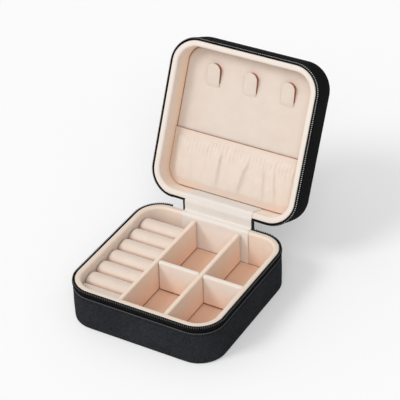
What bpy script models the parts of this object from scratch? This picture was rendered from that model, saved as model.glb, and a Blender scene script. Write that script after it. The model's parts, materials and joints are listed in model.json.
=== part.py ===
"""Travel jewelry case: a zipped, leather-covered square box, shown with its lid open.

Units are metres and +Z is up. The origin is the middle of the base's underside, +X runs to the
right along the front, and +Y runs to the back, where the lid hangs on a soft folding spine.
The base and the lid are built as they lie when the case is closed. The lid is then turned back
about its hinge axis to where the taut spine holds it.
"""

import math

import bmesh
import bpy
from mathutils import Matrix, Vector

# Outside of the case, over the leather.
CASE_SIDE = 0.100
HALF_SIDE = CASE_SIDE / 2
CORNER_RADIUS = 0.01725
EDGE_ROUND = 0.0012
BASE_HEIGHT = 0.0270
LID_HEIGHT = 0.0193
RIM_GAP = 0.00095
LID_RIM_Z = BASE_HEIGHT + RIM_GAP
LID_TOP_Z = LID_RIM_Z + LID_HEIGHT
ZIP_BAND = 0.0047

# Clearance between neighbouring pieces, and the layers of a wall as depths below its outside.
FIT = 0.0003
LEATHER = 0.0009
TAPE_OUT, TAPE_IN = 0.00115, 0.00160
BOARD_OUT, BOARD_IN = 0.0019, 0.0034
LINING_OUT, LINING_IN = 0.0037, 0.0051
LIP_OUT = 0.00105
LINING_ROOM = LINING_IN + FIT
BOARD_BOTTOM, BOARD_TOP = 0.0012, 0.0026
FLOOR_BOTTOM, FLOOR_TOP = 0.0029, 0.0039
LIP_THICKNESS = 0.00065
LIP_GAP = 0.00025
BOARD_CLEAR = LIP_THICKNESS + LIP_GAP

# Rounded lip of the lining: how its crest steps in from both sides and down from the rim.
LIP_DROP = 0.0010
LIP_STEP_IN, LIP_CREST_IN = 0.0004, 0.0011
LIP_CREST_OUT = 0.0006

# Small edge roundings, and how far a cutting block passes the piece that it cuts.
SOFT_EDGE = 0.0003
DIVIDER_ROUND = 0.0004
BAIL_ROUND = 0.0002
OVERCUT = 0.0010
LONG_OVERCUT = 0.0100

# Spine: a soft leather strip lined with velvet, taut when the lid is open. The hinge axis stands
# behind it, where one turn carries the lid's fold line from its open to its shut place.
SPINE_WIDTH = 0.0498
SPINE_SLOT = SPINE_WIDTH / 2 + 0.0006
SPINE_THICKNESS = 0.0009
SPINE_FREE = 0.00702
FOLD_INSET = 0.0010
LID_OPEN_ANGLE = math.radians(114.3)
BASE_FOLD_Z = BASE_HEIGHT - FOLD_INSET
OPEN_FOLD_Z = BASE_FOLD_Z + SPINE_FREE
SHUT_FOLD_Z = LID_RIM_Z + FOLD_INSET
HINGE_Y = HALF_SIDE + (OPEN_FOLD_Z - SHUT_FOLD_Z) / 2 / math.tan(LID_OPEN_ANGLE / 2)
HINGE_Z = (OPEN_FOLD_Z + SHUT_FOLD_Z) / 2
STRIP_WIDTH = 0.0464
STRIP_THICKNESS = 0.0005
STRIP_DROP = 0.0006

# Zip: tape and coil start at the back left corner and stop beside the spine on the right.
COIL_HEIGHT = 0.0024
COIL_OUT, COIL_IN = -0.00045, 0.00080
COIL_PROUD = 0.0003
ZIP_RIGHT_END = 0.0262
TAPE_DEPTH = 0.0115

# Joined end of the zip, stitched to the back panel, with the parked slider on it.
TAIL_Z = 0.0155
TAIL_LEFT, TAIL_RIGHT = 0.0010, 0.0262
TAIL_TAPE_HEIGHT, TAIL_TAPE = 0.0090, 0.0005
TAIL_COIL_HEIGHT, TAIL_COIL = 0.0046, 0.0012
TAIL_COIL_INSET = 0.0010
SLIDER_X = 0.0185
SLIDER_LENGTH = 0.0082
SLIDER_PLATE = 0.0008
BAIL_WIDTH, BAIL_SPAN, BAIL_BAR = 0.0016, 0.0060, 0.0007
PULL_BAR = 0.0010
PULL_WIDTH, PULL_LENGTH, PULL_THICKNESS = 0.0052, 0.0200, 0.0010
PULL_WINDOW = 0.0056

# Inside of the base.
DIVIDER_THICKNESS = 0.0029
DIVIDER_TOP = 0.0248
DIVIDER_BOTTOM = FLOOR_TOP + FIT
RING_DIVIDER_X = -0.01393
MIDDLE_DIVIDER_X = 0.01663
CROSS_DIVIDER_Y = -0.00128
DIVIDER_FRONT, DIVIDER_BACK = -0.0445, 0.0437
LAP_Z = 0.0145
ROLL_COUNT = 7
ROLL_PITCH = 0.01226
FIRST_ROLL_Y = -0.0409
ROLL_RADIUS = 0.00593
ROLL_CREST = 0.0233
BED_TOP = 0.0107

# Inside of the lid. Heights are measured from the lid's outside face.
LID_DEPTH = 0.0137
PANEL_FACE = LID_HEIGHT - LID_DEPTH
PANEL_SHOULDER = 0.0008
HOOK_SPACING, HOOK_MIDDLE_X = 0.0255, 0.0005
HOOK_WIDTH = 0.0086
HOOK_ROOT_Y, HOOK_TIP_Y = -0.0200, -0.0360
HOOK_THICKNESS = 0.0013
HOOK_LIFT = math.radians(11)
POCKET_MOUTH_Y = 0.0087
POCKET_SEAM_Y = 0.0437
POCKET_DEPTH = 0.0026
POCKET_SHEET = 0.0008
POCKET_SEAM_WIDTH = 0.0016
ELASTIC_RADIUS = 0.0009
ELASTIC_END = 0.0002

CORNER_SEGMENTS = 7
ROUND_SEGMENTS = 12

# Colour (linear), roughness and metallic value of each material.
LEATHER_LOOK = ((0.012, 0.012, 0.013), 0.55, 0.0)
VELVET_LOOK = ((0.72, 0.55, 0.42), 0.95, 0.0)
BOARD_LOOK = ((0.30, 0.27, 0.23), 0.90, 0.0)
ZIP_LOOK = ((0.010, 0.010, 0.011), 0.50, 0.0)
METAL_LOOK = ((0.030, 0.030, 0.032), 0.35, 1.0)


def clear_scene():
    for obj in list(bpy.data.objects):
        bpy.data.objects.remove(obj, do_unlink=True)


def make_material(name, look):
    colour, roughness, metallic = look
    material = bpy.data.materials.new(name)
    material.use_nodes = True
    shader = material.node_tree.nodes["Principled BSDF"]
    shader.inputs["Base Color"].default_value = (*colour, 1.0)
    shader.inputs["Roughness"].default_value = roughness
    shader.inputs["Metallic"].default_value = metallic
    return material


def finish_object(name, bm, look, pivot=None, pivot_origin=Vector((0, 0, 0)), smooth_angle=35):
    """Turn a bmesh into a named object; with a pivot, its mesh is kept relative to that axis."""
    bmesh.ops.recalc_face_normals(bm, faces=bm.faces)
    bmesh.ops.translate(bm, verts=bm.verts, vec=-pivot_origin)
    mesh = bpy.data.meshes.new(name)
    bm.to_mesh(mesh)
    bm.free()
    mesh.shade_smooth()
    mesh.set_sharp_from_angle(angle=math.radians(smooth_angle))
    obj = bpy.data.objects.new(name, mesh)
    bpy.context.scene.collection.objects.link(obj)
    obj.data.materials.append(make_material(name + "_material", look))
    if pivot:
        obj.parent = pivot
    return obj


def add_pivot(name, location, parent=None, angle_x=0.0):
    pivot = bpy.data.objects.new(name, None)
    bpy.context.scene.collection.objects.link(pivot)
    pivot.parent = parent
    pivot.location = location
    pivot.rotation_euler = (angle_x, 0.0, 0.0)
    return pivot


def rounded_square(depth):
    """Plan outline at a depth below the outside, from the back right corner anticlockwise."""
    half = HALF_SIDE - depth
    radius = CORNER_RADIUS - depth
    centre = half - radius
    points = []
    for corner, (sx, sy) in enumerate(((1, 1), (-1, 1), (-1, -1), (1, -1))):
        for step in range(CORNER_SEGMENTS + 1):
            angle = math.radians(90) * (corner + step / CORNER_SEGMENTS)
            x = sx * centre + radius * math.cos(angle)
            y = sy * centre + radius * math.sin(angle)
            points.append((x, y))
    return points


def add_ring(bm, points, z):
    return [bm.verts.new((x, y, z)) for x, y in points]


def join_rings(bm, lower, upper):
    count = len(lower)
    for i in range(count):
        j = (i + 1) % count
        bm.faces.new((lower[i], lower[j], upper[j], upper[i]))


def tray(profile, flip=False):
    """A tray with a bottom: the profile lists (depth, height) from outside bottom to inside."""
    bm = bmesh.new()
    rings = [add_ring(bm, rounded_square(d), LID_TOP_Z - h if flip else h) for d, h in profile]
    for lower, upper in zip(rings, rings[1:]):
        join_rings(bm, lower, upper)
    bm.faces.new(rings[0])
    bm.faces.new(rings[-1])
    return bm


def frame(profile, flip=False):
    """A closed band that follows the walls: the profile is a closed loop of (depth, height)."""
    bm = bmesh.new()
    rings = [add_ring(bm, rounded_square(d), LID_TOP_Z - h if flip else h) for d, h in profile]
    for lower, upper in zip(rings, rings[1:] + rings[:1]):
        join_rings(bm, lower, upper)
    return bm


def zip_path(depth):
    """Plan line of the zip: from the back left corner round the front to its right end."""
    outline = rounded_square(depth)
    turned = outline[CORNER_SEGMENTS + 1:] + outline[:CORNER_SEGMENTS + 1]
    return turned + [(ZIP_RIGHT_END, HALF_SIDE - depth)]


def swept_band(profile, flip=False):
    """An open band along the zip's line with a closed cross-section of (depth, height)."""
    bm = bmesh.new()
    rails = []
    for depth, height in profile:
        z = LID_TOP_Z - height if flip else height
        rails.append(add_ring(bm, zip_path(depth), z))
    for rail, following in zip(rails, rails[1:] + rails[:1]):
        for i in range(len(rail) - 1):
            bm.faces.new((rail[i], rail[i + 1], following[i + 1], following[i]))
    bm.faces.new([rail[0] for rail in rails])
    bm.faces.new([rail[-1] for rail in rails])
    return bm


def block(low, high, bevel=0.0):
    """A box between two corners, with its edges rounded by the bevel width."""
    bm = bmesh.new()
    bmesh.ops.create_cube(bm, size=1.0)
    size = Vector(high) - Vector(low)
    middle = (Vector(high) + Vector(low)) / 2
    bmesh.ops.scale(bm, vec=size, verts=bm.verts)
    bmesh.ops.translate(bm, vec=middle, verts=bm.verts)
    if bevel:
        bmesh.ops.bevel(bm, geom=bm.edges[:], offset=bevel, segments=2, affect="EDGES", profile=0.6)
    return bm


def prism(outline, low, high):
    """Extrude a plan outline from one height to another."""
    bm = bmesh.new()
    lower = add_ring(bm, outline, low)
    upper = add_ring(bm, outline, high)
    join_rings(bm, lower, upper)
    bm.faces.new(lower)
    bm.faces.new(upper)
    return bm


def cutter(name, bm, parent=None, origin=Vector((0, 0, 0))):
    obj = finish_object(name, bm, BOARD_LOOK, parent, origin)
    obj.hide_render = True
    obj.display_type = "WIRE"
    return obj


def cut(obj, tool, operation="DIFFERENCE"):
    modifier = obj.modifiers.new(tool.name, "BOOLEAN")
    modifier.operation = operation
    modifier.solver = "EXACT"
    modifier.object = tool


def cover_profile(top):
    """Leather skin: rounded bottom edge, outside wall, folded top edge and inside wall."""
    profile = []
    for step in range(4):
        angle = math.radians(30 * step)
        depth = EDGE_ROUND * (1 - math.sin(angle))
        profile.append((depth, EDGE_ROUND * (1 - math.cos(angle))))
    profile += [(0.0, top - SOFT_EDGE), (SOFT_EDGE, top), (LEATHER - SOFT_EDGE, top)]
    profile += [(LEATHER, top - SOFT_EDGE), (LEATHER, LEATHER)]
    return profile


def board_profile(top):
    return [(BOARD_OUT, BOARD_BOTTOM), (BOARD_OUT, top), (BOARD_IN, top), (BOARD_IN, BOARD_TOP)]


def lining_profile(rim):
    """Velvet wall lining that turns over the board's edge as a rounded lip."""
    under = rim - LIP_THICKNESS
    return [
        (LINING_IN, FLOOR_BOTTOM),
        (LINING_IN, rim - LIP_DROP),
        (LINING_IN - LIP_STEP_IN, rim - SOFT_EDGE),
        (LINING_IN - LIP_CREST_IN, rim),
        (LIP_OUT + LIP_CREST_OUT, rim),
        (LIP_OUT, rim - SOFT_EDGE),
        (LIP_OUT, under),
        (LINING_OUT, under),
        (LINING_OUT, FLOOR_BOTTOM),
    ]


def tape_profile(rim):
    top = rim - BOARD_CLEAR
    bottom = rim - TAPE_DEPTH
    return [(TAPE_OUT, bottom), (TAPE_OUT, top), (TAPE_IN, top), (TAPE_IN, bottom)]


def coil_profile(rim):
    top = rim + COIL_PROUD
    bottom = top - COIL_HEIGHT
    return [
        (COIL_IN, bottom),
        (COIL_IN, top),
        (COIL_OUT + SOFT_EDGE, top),
        (COIL_OUT, top - SOFT_EDGE),
        (COIL_OUT, bottom + SOFT_EDGE),
        (COIL_OUT + SOFT_EDGE, bottom),
    ]


def build_half(prefix, height, flip, pivot=None, origin=Vector((0, 0, 0))):
    """Leather, board, lining and zip half, which the base and the lid have alike."""
    place = (pivot, origin)
    cover = finish_object(prefix + "_cover", tray(cover_profile(height - ZIP_BAND), flip),
                          LEATHER_LOOK, *place)
    finish_object(prefix + "_shell", tray(board_profile(height - BOARD_CLEAR), flip),
                  BOARD_LOOK, *place)
    lining = finish_object(prefix + "_lining", frame(lining_profile(height), flip),
                           VELVET_LOOK, *place)
    finish_object(prefix + "_zip_tape", swept_band(tape_profile(height), flip), ZIP_LOOK, *place)
    finish_object(prefix + "_zip_coil", swept_band(coil_profile(height), flip), ZIP_LOOK, *place)
    return cover, lining


def build_spine_tab(name, height, flip, pivot=None, origin=Vector((0, 0, 0))):
    """Leather that carries on from the cover up to the spine's fold line."""
    low_h = height - ZIP_BAND + FIT
    high_h = height - FOLD_INSET - FIT
    heights = (LID_TOP_Z - high_h, LID_TOP_Z - low_h) if flip else (low_h, high_h)
    low = (-SPINE_WIDTH / 2, HALF_SIDE - SPINE_THICKNESS, heights[0])
    high = (SPINE_WIDTH / 2, HALF_SIDE, heights[1])
    finish_object(name, block(low, high), LEATHER_LOOK, pivot, origin)


def build_lip_notch(lining, name, low_z, high_z, pivot=None, origin=Vector((0, 0, 0))):
    """Trim the lip's outer edge where the spine strip passes it."""
    notch = block((-SPINE_SLOT, HALF_SIDE - SPINE_THICKNESS - FIT, low_z),
                  (SPINE_SLOT, HALF_SIDE + FIT, high_z))
    cut(lining, cutter(name, notch, pivot, origin))


def divider(low, high, name, pivot=None, origin=Vector((0, 0, 0))):
    return finish_object(name, block(low, high, DIVIDER_ROUND), VELVET_LOOK, pivot, origin)


def build_base():
    _, lining = build_half("base", BASE_HEIGHT, False)
    build_lip_notch(lining, "base_lip_notch", BASE_HEIGHT - 2 * OVERCUT, BASE_HEIGHT + OVERCUT)
    build_spine_tab("base_spine_tab", BASE_HEIGHT, False)

    floor = prism(rounded_square(LINING_ROOM), FLOOR_BOTTOM, FLOOR_TOP)
    finish_object("floor_pad", floor, VELVET_LOOK)

    strip_front = HALF_SIDE - LINING_IN - FIT - STRIP_THICKNESS
    finish_object("hinge_strip_base",
                  block((-STRIP_WIDTH / 2, strip_front, DIVIDER_BOTTOM),
                        (STRIP_WIDTH / 2, strip_front + STRIP_THICKNESS, BASE_HEIGHT - STRIP_DROP)),
                  VELVET_LOOK)

    half_wall = DIVIDER_THICKNESS / 2
    divider((RING_DIVIDER_X - half_wall, DIVIDER_FRONT, DIVIDER_BOTTOM),
            (RING_DIVIDER_X + half_wall, DIVIDER_BACK, DIVIDER_TOP), "ring_divider")


def roll_section(y):
    """Closed outline of one ring roll in the YZ plane: a foam bar with a round top."""
    centre_z = ROLL_CREST - ROLL_RADIUS
    points = [(y + ROLL_RADIUS, BED_TOP + FIT)]
    for step in range(ROUND_SEGMENTS + 1):
        angle = math.pi * step / ROUND_SEGMENTS
        points.append((y + ROLL_RADIUS * math.cos(angle),
                       centre_z + ROLL_RADIUS * math.sin(angle)))
    points.append((y - ROLL_RADIUS, BED_TOP + FIT))
    return points


def build_ring_section():
    left = -HALF_SIDE + LINING_ROOM
    right = RING_DIVIDER_X - DIVIDER_THICKNESS / 2 - FIT
    fence = cutter("ring_fence", prism(rounded_square(LINING_ROOM), FLOOR_TOP, BASE_HEIGHT))

    bed = finish_object("ring_bed",
                        block((left - OVERCUT, -HALF_SIDE, DIVIDER_BOTTOM),
                              (right, DIVIDER_BACK, BED_TOP)), VELVET_LOOK)
    cut(bed, fence, "INTERSECT")

    for number in range(ROLL_COUNT):
        bm = bmesh.new()
        section = roll_section(FIRST_ROLL_Y + ROLL_PITCH * number)
        ends = [[bm.verts.new((x, y, z)) for y, z in section] for x in (left - OVERCUT, right)]
        join_rings(bm, *ends)
        bm.faces.new(ends[0])
        bm.faces.new(ends[1])
        roll = finish_object(f"ring_roll_{number + 1}", bm, VELVET_LOOK)
        cut(roll, fence, "INTERSECT")


def build_divider_insert():
    """Two slotted dividers, halved over each other, that lift out together."""
    origin = Vector((MIDDLE_DIVIDER_X, CROSS_DIVIDER_Y, DIVIDER_BOTTOM))
    pivot = add_pivot("divider_insert", origin)
    half_wall = DIVIDER_THICKNESS / 2
    middle = divider((MIDDLE_DIVIDER_X - half_wall, DIVIDER_FRONT, DIVIDER_BOTTOM),
                     (MIDDLE_DIVIDER_X + half_wall, DIVIDER_BACK, DIVIDER_TOP),
                     "middle_divider", pivot, origin)
    cross = divider((RING_DIVIDER_X + half_wall + FIT, CROSS_DIVIDER_Y - half_wall, DIVIDER_BOTTOM),
                    (HALF_SIDE - LINING_ROOM, CROSS_DIVIDER_Y + half_wall, DIVIDER_TOP),
                    "cross_divider", pivot, origin)
    reach = half_wall + FIT
    lower_lap = block((MIDDLE_DIVIDER_X - reach, CROSS_DIVIDER_Y - reach, 0.0),
                      (MIDDLE_DIVIDER_X + reach, CROSS_DIVIDER_Y + reach, LAP_Z + FIT / 2))
    upper_lap = block((MIDDLE_DIVIDER_X - reach, CROSS_DIVIDER_Y - reach, LAP_Z - FIT / 2),
                      (MIDDLE_DIVIDER_X + reach, CROSS_DIVIDER_Y + reach, BASE_HEIGHT))
    cut(middle, cutter("middle_divider_lap", lower_lap, pivot, origin))
    cut(cross, cutter("cross_divider_lap", upper_lap, pivot, origin))


def build_spine():
    """Free part of the spine strip, upright between the two fold lines."""
    strip = block((-SPINE_WIDTH / 2, HALF_SIDE - SPINE_THICKNESS, BASE_FOLD_Z + FIT),
                  (SPINE_WIDTH / 2, HALF_SIDE, OPEN_FOLD_Z - FIT))
    finish_object("spine_strip", strip, LEATHER_LOOK)


def hook_outline():
    """Plan outline of one tongue: square root, half-round free end towards the lid's front."""
    half = HOOK_WIDTH / 2
    points = [(half, 0.0), (-half, 0.0)]
    arc_y = HOOK_TIP_Y - HOOK_ROOT_Y + half
    for step in range(ROUND_SEGMENTS + 1):
        angle = math.pi + math.pi * step / ROUND_SEGMENTS
        points.append((half * math.cos(angle), arc_y + half * math.sin(angle)))
    return points


def build_hooks(pivot, origin):
    face_z = LID_TOP_Z - PANEL_FACE - FIT
    for column, name in ((-1, "hook_left"), (0, "hook_middle"), (1, "hook_right")):
        bm = prism(hook_outline(), -HOOK_THICKNESS, 0.0)
        bmesh.ops.rotate(bm, verts=bm.verts, matrix=Matrix.Rotation(HOOK_LIFT, 3, "X"))
        root = Vector((HOOK_MIDDLE_X + column * HOOK_SPACING, HOOK_ROOT_Y, face_z))
        bmesh.ops.translate(bm, verts=bm.verts, vec=root)
        finish_object(name, bm, VELVET_LOOK, pivot, origin)


def build_pocket(pivot, origin):
    """Gathered pocket: a sheet joined to the panel along its sides and bottom, open above."""
    back_z = LID_TOP_Z - PANEL_FACE - FIT
    front_z = back_z - POCKET_DEPTH
    pocket = finish_object("pocket", prism(rounded_square(LINING_ROOM), front_z, back_z),
                           VELVET_LOOK, pivot, origin)
    area = block((-HALF_SIDE, POCKET_MOUTH_Y, front_z - OVERCUT),
                 (HALF_SIDE, POCKET_SEAM_Y, back_z + OVERCUT))
    cut(pocket, cutter("pocket_area", area, pivot, origin), "INTERSECT")
    space = prism(rounded_square(LINING_ROOM + POCKET_SEAM_WIDTH), front_z + POCKET_SHEET,
                  back_z + OVERCUT)
    bmesh.ops.bisect_plane(space, geom=space.verts[:] + space.edges[:] + space.faces[:],
                           plane_co=(0, POCKET_SEAM_Y - POCKET_SEAM_WIDTH, 0), plane_no=(0, 1, 0),
                           clear_outer=True)
    edges = [edge for edge in space.edges if edge.is_boundary]
    bmesh.ops.contextual_create(space, geom=edges)
    cut(pocket, cutter("pocket_space", space, pivot, origin))

    bm = bmesh.new()
    length = 2 * (HALF_SIDE - LINING_ROOM - ELASTIC_END)
    bmesh.ops.create_cone(bm, cap_ends=True, segments=8, radius1=ELASTIC_RADIUS,
                          radius2=ELASTIC_RADIUS, depth=length)
    bmesh.ops.rotate(bm, verts=bm.verts, matrix=Matrix.Rotation(math.radians(90), 3, "Y"))
    edge_y = POCKET_MOUTH_Y - FIT - ELASTIC_RADIUS
    edge = Vector((0, edge_y, front_z + ELASTIC_RADIUS))
    bmesh.ops.translate(bm, verts=bm.verts, vec=edge)
    finish_object("pocket_elastic", bm, VELVET_LOOK, pivot, origin)


def build_lid():
    origin = Vector((0, HINGE_Y, HINGE_Z))
    pivot = add_pivot("lid_hinge", origin, angle_x=-LID_OPEN_ANGLE)
    _, lining = build_half("lid", LID_HEIGHT, True, pivot, origin)
    build_lip_notch(lining, "lid_lip_notch", LID_RIM_Z - OVERCUT, LID_RIM_Z + 2 * OVERCUT, pivot, origin)
    build_spine_tab("lid_spine_tab", LID_HEIGHT, True, pivot, origin)

    panel = [(LINING_ROOM, FLOOR_BOTTOM), (LINING_ROOM, PANEL_FACE - PANEL_SHOULDER),
             (LINING_ROOM + PANEL_SHOULDER, PANEL_FACE)]
    finish_object("lid_panel", tray(panel, True), VELVET_LOOK, pivot, origin)

    strip_front = HALF_SIDE - LINING_IN - FIT - STRIP_THICKNESS
    panel_z = LID_TOP_Z - PANEL_FACE - FIT
    finish_object("hinge_strip_lid",
                  block((-STRIP_WIDTH / 2, strip_front, LID_RIM_Z + STRIP_DROP),
                        (STRIP_WIDTH / 2, strip_front + STRIP_THICKNESS, panel_z)),
                  VELVET_LOOK, pivot, origin)
    build_hooks(pivot, origin)
    build_pocket(pivot, origin)


def build_zip_tail():
    """Joined end of the zip on the back panel: tape under the closed coil."""
    tape_y = HALF_SIDE + FIT
    tape = block((TAIL_LEFT, tape_y, TAIL_Z - TAIL_TAPE_HEIGHT / 2),
                 (TAIL_RIGHT, tape_y + TAIL_TAPE, TAIL_Z + TAIL_TAPE_HEIGHT / 2))
    finish_object("zip_tail_tape", tape, ZIP_LOOK)
    coil_y = tape_y + TAIL_TAPE + FIT
    coil = block((TAIL_LEFT + TAIL_COIL_INSET, coil_y, TAIL_Z - TAIL_COIL_HEIGHT / 2),
                 (TAIL_RIGHT - TAIL_COIL_INSET, coil_y + TAIL_COIL, TAIL_Z + TAIL_COIL_HEIGHT / 2),
                 SOFT_EDGE)
    finish_object("zip_tail_coil", coil, ZIP_LOOK)
    return coil_y


def build_slider(coil_y):
    """Slider that rides over the tail's coil, and the pull on its bail."""
    plate_y = coil_y + TAIL_COIL + FIT
    bar_y = plate_y + SLIDER_PLATE + FIT + PULL_BAR / 2
    bail_y = bar_y + PULL_BAR / 2 + FIT
    origin = Vector((SLIDER_X, bar_y, TAIL_Z))
    half_length = SLIDER_LENGTH / 2
    wall_in = TAIL_COIL_HEIGHT / 2 + FIT
    wall_out = wall_in + SLIDER_PLATE

    slider_pivot = add_pivot("slider_place", origin)
    body = block((SLIDER_X - half_length, coil_y, TAIL_Z - wall_out),
                 (SLIDER_X + half_length, plate_y + SLIDER_PLATE, TAIL_Z + wall_out), SOFT_EDGE)
    slider = finish_object("zip_slider", body, METAL_LOOK, slider_pivot, origin)
    channel = block((SLIDER_X - LONG_OVERCUT, 0.0, TAIL_Z - wall_in),
                    (SLIDER_X + LONG_OVERCUT, plate_y, TAIL_Z + wall_in))
    cut(slider, cutter("slider_channel", channel, slider_pivot, origin))
    bail = block((SLIDER_X - BAIL_SPAN / 2, plate_y + SLIDER_PLATE / 2, TAIL_Z - BAIL_WIDTH / 2),
                 (SLIDER_X + BAIL_SPAN / 2, bail_y + BAIL_BAR, TAIL_Z + BAIL_WIDTH / 2),
                 BAIL_ROUND)
    cut(slider, cutter("slider_bail", bail, slider_pivot, origin), "UNION")
    eye_reach = BAIL_SPAN / 2 - BAIL_BAR
    eye = block((SLIDER_X - eye_reach, plate_y + SLIDER_PLATE, TAIL_Z - LONG_OVERCUT),
                (SLIDER_X + eye_reach, bail_y, TAIL_Z + LONG_OVERCUT))
    cut(slider, cutter("slider_eye", eye, slider_pivot, origin))

    pull_pivot = add_pivot("pull_axis", Vector((0, 0, 0)), slider_pivot)
    plate = block((SLIDER_X - PULL_LENGTH, bar_y - PULL_THICKNESS / 2, TAIL_Z - PULL_WIDTH / 2),
                  (SLIDER_X + PULL_BAR / 2, bar_y + PULL_THICKNESS / 2, TAIL_Z + PULL_WIDTH / 2),
                  SOFT_EDGE)
    pull = finish_object("zip_pull", plate, METAL_LOOK, pull_pivot, origin)
    window_reach = BAIL_WIDTH / 2 + FIT
    window = block((SLIDER_X - PULL_WINDOW, bar_y - LONG_OVERCUT, TAIL_Z - window_reach),
                   (SLIDER_X - PULL_BAR / 2, bar_y + LONG_OVERCUT, TAIL_Z + window_reach))
    cut(pull, cutter("pull_window", window, pull_pivot, origin))


def main():
    clear_scene()
    build_base()
    build_ring_section()
    build_divider_insert()
    build_spine()
    build_lid()
    build_slider(build_zip_tail())


main()
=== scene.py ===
"""Looks of the travel jewelry case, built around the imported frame.

Lengths are in millimetres until make_piece() writes a mesh, which is in metres.
Each half of the case, base or lid, is described by how deep a point is below the leather's
outside (depth) and how high it is above the half's own outer face (height).
"""

import json
import math
from collections import namedtuple

import bmesh
import bpy
from mathutils import Matrix, Vector, noise


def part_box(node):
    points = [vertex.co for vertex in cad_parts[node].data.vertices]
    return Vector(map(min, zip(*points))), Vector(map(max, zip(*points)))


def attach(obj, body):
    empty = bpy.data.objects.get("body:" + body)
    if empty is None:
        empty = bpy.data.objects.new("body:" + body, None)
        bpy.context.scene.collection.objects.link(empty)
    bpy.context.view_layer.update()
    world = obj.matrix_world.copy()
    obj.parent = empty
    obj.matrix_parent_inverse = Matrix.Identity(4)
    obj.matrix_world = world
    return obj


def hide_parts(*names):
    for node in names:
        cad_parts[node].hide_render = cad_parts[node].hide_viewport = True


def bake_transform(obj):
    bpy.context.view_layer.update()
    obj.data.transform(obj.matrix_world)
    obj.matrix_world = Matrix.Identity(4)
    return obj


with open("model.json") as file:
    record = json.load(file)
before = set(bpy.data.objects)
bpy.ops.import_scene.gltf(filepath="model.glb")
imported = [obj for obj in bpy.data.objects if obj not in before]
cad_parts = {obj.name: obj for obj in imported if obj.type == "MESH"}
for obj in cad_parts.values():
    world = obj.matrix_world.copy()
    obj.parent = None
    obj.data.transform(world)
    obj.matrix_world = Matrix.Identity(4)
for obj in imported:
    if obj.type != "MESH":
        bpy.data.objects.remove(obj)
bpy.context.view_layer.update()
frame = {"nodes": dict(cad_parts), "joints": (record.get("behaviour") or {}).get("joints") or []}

MM = 0.001
WELD = 0.002
SHARP_EDGE = math.radians(50)


def node_box(node):
    low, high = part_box(node)
    return low / MM, high / MM


def joint_place(name):
    found = [joint for joint in frame["joints"] if joint["name"] == name][0]
    return Vector(found["pos_m"]) / MM


# Driving sizes, from the frame where a node stands square to it.
HALF_SIDE = node_box("base_cover")[1].x
CORNER_RADIUS = 17.25
BASE_HEIGHT = node_box("base_lining")[1].z
COVER_TOP = node_box("base_cover")[1].z
ZIP_BAND = BASE_HEIGHT - COVER_TOP
LID_HEIGHT = 19.3
RIM_GAP = 0.95
FOLD_INSET = 1.0
LID_ANGLE = math.radians(114.3)
FLOOR_TOP = node_box("floor_pad")[1].z
LINING_DEPTH = 5.1
PANEL_FACE = 5.6
ROLL_RADIUS = 5.93
CLEAR = 0.3

HINGE = joint_place("lid_hinge")
SPINE_HALF = node_box("spine_strip")[1].x
STRIP_HALF = node_box("hinge_strip_base")[1].x
SPINE_LEATHER = 0.9
STRIP = 0.38

ZIP_PITCH = 1.25
LIP_OUTER, LIP_ROUND = 1.40, 0.62
PAD_DEPTH, PAD_FOOT = 5.42, 2.95
ROLL_GAP = 0.35
HOOK_SPACING, HOOK_MIDDLE, TONGUE_STEPS = 25.5, 0.5, 16
POCKET_DEPTH, POCKET_MOUTH, POCKET_SEAM = 5.5, 8.7, 43.9
# Which faces of a tooth carry a painted glint: near the leather's outside, clear of its foot, close to
# its middle.
GLINT_DEPTH, GLINT_FOOT, GLINT_HALF = 0.10, 0.9, 0.17
# A divider's ends take the seam's dark painted shade up to this far below its top.
SHADED_BELOW = 1.3
ZIP_LEFT, ZIP_RIGHT = -32.9, 26.2

Station = namedtuple("Station", "cx cy nx ny")


# ---------------------------------------------------------------- places

def place_base(point):
    return Vector(point)


def place_lid(point):
    """From the lid's own measures to where the open lid holds them."""
    x, y, height = point
    shut = Vector((x, y, BASE_HEIGHT + RIM_GAP + LID_HEIGHT - height))
    return Matrix.Rotation(-LID_ANGLE, 3, "X") @ (shut - HINGE) + HINGE


Half = namedtuple("Half", "prefix body height place")
BASE = Half("base", "base", BASE_HEIGHT, place_base)
LID = Half("lid", "lid", LID_HEIGHT, place_lid)


def stations(corner_steps=16, side_steps=14):
    """Stops round the plan, anticlockwise from the right side's back end."""
    reach = HALF_SIDE - CORNER_RADIUS
    centres = ((reach, reach), (-reach, reach), (-reach, -reach), (reach, -reach))
    made = []
    for number, (cx, cy) in enumerate(centres):
        for step in range(corner_steps + 1):
            angle = (number + step / corner_steps) * math.pi / 2
            made.append(Station(cx, cy, math.cos(angle), math.sin(angle)))
        last = made[-1]
        tx, ty = centres[(number + 1) % 4]
        for step in range(1, side_steps):
            share = step / side_steps
            made.append(Station(cx + (tx - cx) * share, cy + (ty - cy) * share, last.nx, last.ny))
    return made


def zip_stations(spacing):
    """Evenly spaced stops along the zip: back left corner, left, front, right, back."""
    reach = HALF_SIDE - CORNER_RADIUS
    quarter = CORNER_RADIUS * math.pi / 2
    length = 3 * 2 * reach + 4 * quarter + reach - ZIP_RIGHT
    count = int(length / spacing)
    centres = ((-reach, reach), (-reach, -reach), (reach, -reach), (reach, reach))
    made = []
    for number in range(count + 1):
        walked = length * number / count
        leg, along = divmod(walked, quarter + 2 * reach)
        leg = min(int(leg), 3)
        along = walked - leg * (quarter + 2 * reach)
        turn = min(along / quarter, 1.0)
        angle = (leg + 1 + turn) * math.pi / 2
        cx, cy = centres[leg]
        run = max(along - quarter, 0.0)
        nx, ny = math.cos(angle), math.sin(angle)
        made.append(Station(cx - ny * run, cy + nx * run, nx, ny))
    return made


def at(stop, depth, height):
    reach = CORNER_RADIUS - depth
    return Vector((stop.cx + stop.nx * reach, stop.cy + stop.ny * reach, height))


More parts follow.
